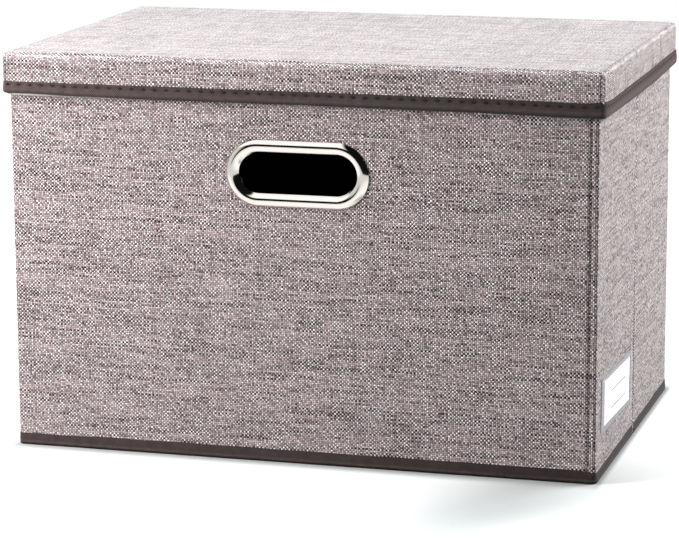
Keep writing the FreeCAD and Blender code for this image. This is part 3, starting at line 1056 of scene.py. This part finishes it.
def lid_tape_section(q):
    """The lid's edge tape: puckered where its stitches pull it in, turned under the skirt."""
    phase = abs((q / DIMPLE_PITCH) % 1.0 - 0.5)
    pull = bell(phase * DIMPLE_PITCH, 1.6)
    puff = 0.10 * (1 - pull)
    top = LID_TAPE_TOP + 0.05 * math.sin(q * 0.19) - puff
    stitch_z = LID_TAPE_TOP - DIMPLE_DROP
    painted_tone = read_table(LID_TAPE_PAINTED_SHADING, q)[0]
    # Painted shade along the top edge, in the stitch dimples and low down, and a painted highlight on the
    # bulge
    section = [
        (0.05, top, painted_tone - 0.3), (-0.35, top - 0.05, painted_tone - 0.3),
        (-0.55 - puff, top - 0.7, painted_tone - 0.15),
        (-0.6 - puff + 0.15 * pull, stitch_z + 1.2, painted_tone - 0.2 * pull),
        (-0.6 - puff + 0.35 * pull, stitch_z + 0.7, painted_tone - 1.2 * pull),
        (-0.55 - puff + 0.47 * pull, stitch_z, painted_tone - 1.2 * pull),
        (-0.65 - puff + 0.45 * pull, stitch_z - 0.7, painted_tone - 1.2 * pull),
        (-0.85 - puff + 0.3 * pull, stitch_z - 1.3, painted_tone + 0.1),
        (-1.0 - puff * 0.6, stitch_z - 2.6, painted_tone + 0.1),
        (-1.0 - puff * 0.3, LID_FOOT + 4.2, painted_tone + 0.4), (-0.98, LID_FOOT + 3.2, painted_tone + 0.4),
        (-0.95, LID_FOOT + 2.3, painted_tone + 0.1), (-0.85, LID_FOOT + 1.6, painted_tone - 0.4),
        (-0.7, LID_FOOT + 0.9, painted_tone - 0.6), (-0.2, LID_FOOT + 0.15, painted_tone - 0.6), (0.6, LID_FOOT - 0.05),
        (SKIRT - 0.2, LID_FOOT), (SKIRT + 0.35, LID_FOOT + 0.4), (SKIRT + 0.4, LID_FOOT + 1.2),
        (SKIRT + 0.4, LID_TAPE_TOP - 0.4), (SKIRT + 0.1, LID_TAPE_TOP), (SKIRT + 0.02, LID_FOOT + 0.8),
        (0.3, LID_FOOT + 0.8),
    ]
    return [(inset, z - tape_drop(q, z), *shade) for inset, z, *shade in section]


def tape_cols():
    """Places along the lid's tape, close together at each dimple and at the corners."""
    cols = set()
    for k in range(DIMPLES):
        for offset in (-0.5, -0.36, -0.22, -0.14, -0.07, 0.0, 0.07, 0.14, 0.22, 0.36):
            cols.add(round(((k + 0.5 + offset) * DIMPLE_PITCH) % AROUND, 3))
    for corner in CORNERS:
        cols.update(round((corner + k * 0.7) % AROUND, 3) for k in range(-10, 11))
    ordered = sorted(cols)
    return [a for a, b in zip(ordered, ordered[1:] + [AROUND]) if b - a > 0.12]


def lid_tape_point(q, inset, z):
    return outline_point(q, inset, LID_X, LID_Y, LID_TAPE_RADII)


def make_lid_stitches():
    """The stitches that pull the lid's tape in, one in each dimple."""
    row = []
    for k in range(DIMPLES):
        q = (k + 0.5) * DIMPLE_PITCH
        z = LID_TAPE_TOP - DIMPLE_DROP
        x, y, nx, ny = lid_tape_point(q, 0, z)
        out = Vector((nx, ny, 0))
        centre = Vector((x, y, z - tape_drop(q, z))) + out * 0.2
        row.append(stitch(centre, Vector((-ny, nx, 0)), out, 2.3, 1.0, 0.12))
    make_piece("lid_tape_stitches", *joined(row), level_spots, "thread_dark", [], "lid", "binding_tape")


make_lid_cloth()
swept("lid_edge_tape", tape_cols(), lid_tape_section, ["lid_binding"], "lid", True, 60, lid_tape_point)
make_lid_stitches()
make_lid_lining()


# The handles
RING_STEPS = 18
PLATE = (
    (16.35, -3.2), (16.35, -4.1), (16.5, -4.2), (21.7, -4.2), (22.0, -4.05), (22.0, -3.35),
    (21.85, -3.2),
)


def oval_ring(name, section, wall, material, nodes):
    """A ring round the handle, from pairs of distance from the centre line and height above the cloth."""
    sign = 1 if wall == "back" else -1
    path = oval_path(40, 8)
    path.append(path[0])
    section = [*section, section[0]]
    points = []
    for x, ox, oz in path:
        points += [(x + ox * half, sign * (HALF_Y + rise), HANDLE_Z + oz * half) for half, rise in section]
    make_piece(name, points, grid(len(path), len(section)), level_spots, material, nodes, wall, sharp=35)


def crown():
    """The ring's section: a low crown, a rolled mouth, the collar in the hole and its turned lip."""
    section = []
    for k in range(RING_STEPS + 1):
        share = k / RING_STEPS
        bow = math.sin(math.pi * min(1, share * 0.92 + 0.04)) ** 0.75
        section.append((RING_OUT + (RING_IN - RING_OUT) * share, 0.25 + 3.2 * bow))
    section += [(15.15, 0.6), (15.05, 0.0), (15.2, -1.0), (RING_IN, -2.4), (RING_IN, -4.4), (15.9, -4.8)]
    section += [(17.4, -4.8), (17.5, -4.5), (17.4, -4.2), (16.3, -4.2), (16.3, -0.05)]
    return [*section, (RING_OUT - 0.2, -0.02)]


for wall in ("front", "back"):
    oval_ring(wall + "_ring", crown(), wall, "polished_metal", [wall + "_handle_ring"])
    oval_ring(wall + "_ring_plate", PLATE, wall, "backing_metal", [wall + "_handle_backing"])


# The label, with y and z along the wall
CARD_X = 225.12
CARD = (-119.0, -17.0, 33.5, 67.5)
LINE_FRONT = -93.0
LINE_BACK = -34.0
LINE_HALF = 0.5
LINE_HEIGHTS = (55.0, 42.0)
FILM = (-130.8, -8.2, 30.6, 71.3)
WELD_OUTER = (-130.6, -8.6, 30.8, 71.1)
WELD_INNER = (-119.2, -16.8, 33.3, 67.7)
LABEL_LEAN = math.radians(2.4)
LABEL_MIDDLE = (-68.0, 50.5)
LABEL_RAISED = 1.0


def rounded_plate(x0, x1, y0, y1, z0, z1, radius, bow=0.0):
    """An upright plate facing +X with rounded corners, as a fan of rings."""
    corners = ((y1 - radius, z1 - radius, 0), (y0 + radius, z1 - radius, 90))
    corners += ((y0 + radius, z0 + radius, 180), (y1 - radius, z0 + radius, 270))
    loop = []
    for cy, cz, start in corners:
        for k in range(6):
            turn = math.radians(start + 18 * k)
            loop.append((cy + radius * math.cos(turn), cz + radius * math.sin(turn)))
    loop.append(loop[0])
    my, mz = (y0 + y1) / 2, (z0 + z1) / 2
    rings = ((x0, 1.0), (x1 - 0.05, 1.0), (x1, 0.997), (x1 + bow * 0.6, 0.6), (x1 + bow, 0.2))
    points = [(x, my + (y - my) * share, mz + (z - mz) * share) for x, share in rings for y, z in loop]
    return points, tube(len(rings), len(loop))


def label_piece(name, shape, material, nodes, body, slot=None):
    """A piece of the label, turned a little in the wall's plane, the way the label sits."""
    points = []
    for x, y, z in shape[0]:
        dy, dz = y - LABEL_MIDDLE[0], z - LABEL_MIDDLE[1]
        leant_y = LABEL_MIDDLE[0] + dy * math.cos(LABEL_LEAN) + dz * math.sin(LABEL_LEAN)
        leant_z = LABEL_MIDDLE[1] + LABEL_RAISED + dz * math.cos(LABEL_LEAN) - dy * math.sin(LABEL_LEAN)
        points.append((x, leant_y, leant_z))
    make_piece(name, points, shape[1], upright_spots, material, nodes, body, slot, 30)


card = rounded_plate(CARD_X, CARD_X + 0.28, *CARD, 0.8)
label_piece("label_card_sheet", card, "card_paper", ["label_card"], "label_card")
lines = []
for z in LINE_HEIGHTS:
    extent = (LINE_FRONT, LINE_BACK, z - LINE_HALF, z + LINE_HALF)
    lines.append(rounded_plate(CARD_X + 0.24, CARD_X + 0.31, *extent, 0.4))
label_piece("label_card_lines", joined(lines), "card_line", [], "label_card", "card_paper")
film = rounded_plate(CARD_X + 0.4, CARD_X + 0.62, *FILM, 1.5, 0.06)
label_piece("label_pocket_film", film, "clear_film", ["label_pocket"], "right_front")
# The pocket's welded edge, wider at the front: a flat section carried round the four corners
WELD_LOW = CARD_X + 0.66
WELD_HIGH = CARD_X + 0.74
section = [(WELD_LOW, WELD_OUTER), (WELD_LOW, WELD_INNER), (WELD_HIGH, WELD_INNER), (WELD_HIGH, WELD_OUTER)]
weld_points = []
for y_end, z_end in ((0, 2), (1, 2), (1, 3), (0, 3), (0, 2)):
    weld_points += [(x, extent[y_end], extent[z_end]) for x, extent in section + section[:1]]
label_piece("label_pocket_edge", (weld_points, grid(5, 5)), "film_border", [], "right_front", "clear_film")


# The boards that are carried over from the CAD model
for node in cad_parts.values():
    if not node.hide_render:
        node.data.materials.clear()
        node.data.materials.append(LOOKS["greyboard"])


# The floor, the light and the camera
FLOOR_HALF = 2400.0
FLOOR_LIT = 0.35  # the floor's shade where it lights the object
FLOOR_SEEN = 0.4  # and where the camera or a gloss sees it, under the glow
FLOOR_GLOW = 0.66
FLOOR_MIRRORED = 0.1  # the shade that metal mirrors, and the glow close to the object and away from it
MIRRORED_NEAR = 1.0
MIRRORED_FAR = 0.72
# Painted shadow on the floor: its glow dips in a soft patch before the front right corner and fades close to
# the object's foot
SHADOW_X = 0.17  # the soft shadow before the front right corner: its middle, lean, reach and depth
SHADOW_Y = -0.22
SHADOW_LEAN = 1.07
SHADOW_LONG = 0.125
SHADOW_WIDE = 0.056
SHADOW_DEPTH = 0.67
FOOT_SHADE_X = 0.226  # where the shade at the object's foot starts, and how far it reaches
FOOT_SHADE_Y = 0.1485
FOOT_SHADE_BESIDE = 0.005
FOOT_SHADE_BEFORE = 0.018
AMBIENT = 0.1
ROOM_SHADE = 0.006

corners = [(x * FLOOR_HALF, y * FLOOR_HALF, 0) for x, y in ((-1, -1), (1, -1), (1, 1), (-1, 1))]
floor_mesh = new_mesh("floor", corners, [(0, 1, 2, 3)])
floor = new_object("floor", floor_mesh)
g = new_look("floor")
east, north, _ = g.parts(g.place("Object"))
mirrored = g.ray("Glossy")
seen = g.most(g.most(g.ray("Camera"), mirrored), g.ray("Transmission"))
shade = g.ramp(seen, 0.0, 1.0, FLOOR_LIT, FLOOR_SEEN) - mirrored * (FLOOR_SEEN - FLOOR_MIRRORED)
distance = g.math("SQRT", east * east + north * north)
glow = g.ramp(distance, 0.4, 1.3, FLOOR_GLOW, 1.0)
mirror_glow = g.ramp(distance, 0.35, 1.2, MIRRORED_NEAR, MIRRORED_FAR)
glow = glow + mirrored * (mirror_glow - glow)
from_x = east - SHADOW_X
from_y = north - SHADOW_Y
lean_x, lean_y = math.cos(SHADOW_LEAN), math.sin(SHADOW_LEAN)
long = from_x * (lean_x / SHADOW_LONG) + from_y * (lean_y / SHADOW_LONG)
wide = from_x * (lean_y / SHADOW_WIDE) + from_y * (-lean_x / SHADOW_WIDE)
# Painted shadow before the front right corner
glow = glow - g.math("EXPONENT", (long * long + wide * wide) * -1.0) * SHADOW_DEPTH
# Close to the foot the glow fades, a painted shade, over a few millimetres at the sides and more before the
# front
beside = g.most(g.math("ABSOLUTE", east) - FOOT_SHADE_X, 0.0) * (1 / FOOT_SHADE_BESIDE)
before = g.most(g.math("ABSOLUTE", north) - FOOT_SHADE_Y, 0.0) * (1 / FOOT_SHADE_BEFORE)
near = g.math("SQRT", beside * beside + before * before)
glow = g.most(glow, 0.0) * g.ramp(near, 0.0, 1.0, 0.0, 1.0)
g.set(Roughness=0.9, Specular_IOR_Level=0.1)
g.set(Base_Color=shade, Emission_Color=WHITE, Emission_Strength=seen * glow)
floor_mesh.materials.append(LOOKS["floor"])
floor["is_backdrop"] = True

# The world is white to the camera. Polished metal mirrors a dark room with a white canopy overhead on the
# left, a light box low on the left, and a pale floor below the horizon.
world = bpy.data.worlds.new("studio")
bpy.context.scene.world = world
g = Graph(world, "Background")
right, away, up = g.parts(g.place("Generated"))
canopy = g.ramp(up, 0.4, 0.56, 0.0, 1.0) * g.ramp(right, -0.1, 0.1, 1.0, 0.0)
canopy = canopy * g.ramp(away, -0.5, 0.7, 1.3, 0.3)
left_box = g.ramp(right, -0.8, -0.5, 0.75, 0.0) * g.ramp(away, 0.2, 0.7, 1.0, 0.3)
bright = g.most(g.most(canopy, g.ramp(up, -0.12, -0.08, 0.7, 0.0)), left_box)
room = g.most(bright, ROOM_SHADE)
seen = g.most(g.ray("Camera"), g.ray("Transmission"))
lit = g.ray("Glossy") * (room - AMBIENT) + AMBIENT
g.set(Color=WHITE, Strength=g.most(seen, lit))

# Each lamp: name, place, where it points, width, height, power, colour
LAMPS = (
    ("top_lamp", (-0.62, -0.06, 1.75), (-0.1, 0.0, 0.3), 1.3, 0.5, 30.5, (0.84, 1.0, 1.0)),
    ("left_lamp", (-0.72, -0.62, 0.58), (-0.05, -0.1, 0.2), 0.3, 0.7, 14.8, (1.0, 0.965, 0.97)),
    ("right_lamp", (1.55, 0.75, 1.2), (0.2, 0, 0.15), 1.0, 1.0, 61.0, (0.95, 1.0, 0.99)),
)
for name, place, target, wide, high, power, colour in LAMPS:
    lamp = bpy.data.lights.new(name, "AREA")
    lamp.shape = "RECTANGLE"
    lamp.size = wide
    lamp.size_y = high
    lamp.energy = power
    lamp.color = colour
    lamp_object = new_object(name, lamp)
    lamp_object.location = place
    lamp_object.visible_camera = False
    lamp_object.visible_glossy = False
    direction = Vector(target) - Vector(place)
    lamp_object.rotation_euler = direction.to_track_quat("-Z", "Y").to_euler()

CAMERA_PLACE = (0.615805, -2.170187, 0.590343)
CAMERA_DOWN = 11.793888
CAMERA_TURN = 16.101629
CAMERA_ROLL = -0.342127
CAMERA_LENS = 154.81
camera = bpy.data.cameras.new("camera")
camera.lens = CAMERA_LENS
camera.sensor_width = 36.0
camera_object = new_object("camera", camera)
turn = Matrix.Rotation(math.radians(CAMERA_TURN), 4, "Z")
tilt = Matrix.Rotation(math.radians(90 - CAMERA_DOWN), 4, "X")
roll = Matrix.Rotation(math.radians(CAMERA_ROLL), 4, "Z")
camera_object.matrix_world = Matrix.Translation(CAMERA_PLACE) @ turn @ tilt @ roll
bpy.context.scene.camera = camera_object
bpy.context.scene.view_settings.view_transform = "Standard"

low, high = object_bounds()
{"cad": [list(cad_low), list(cad_high)], "visual": [list(low), list(high)]}
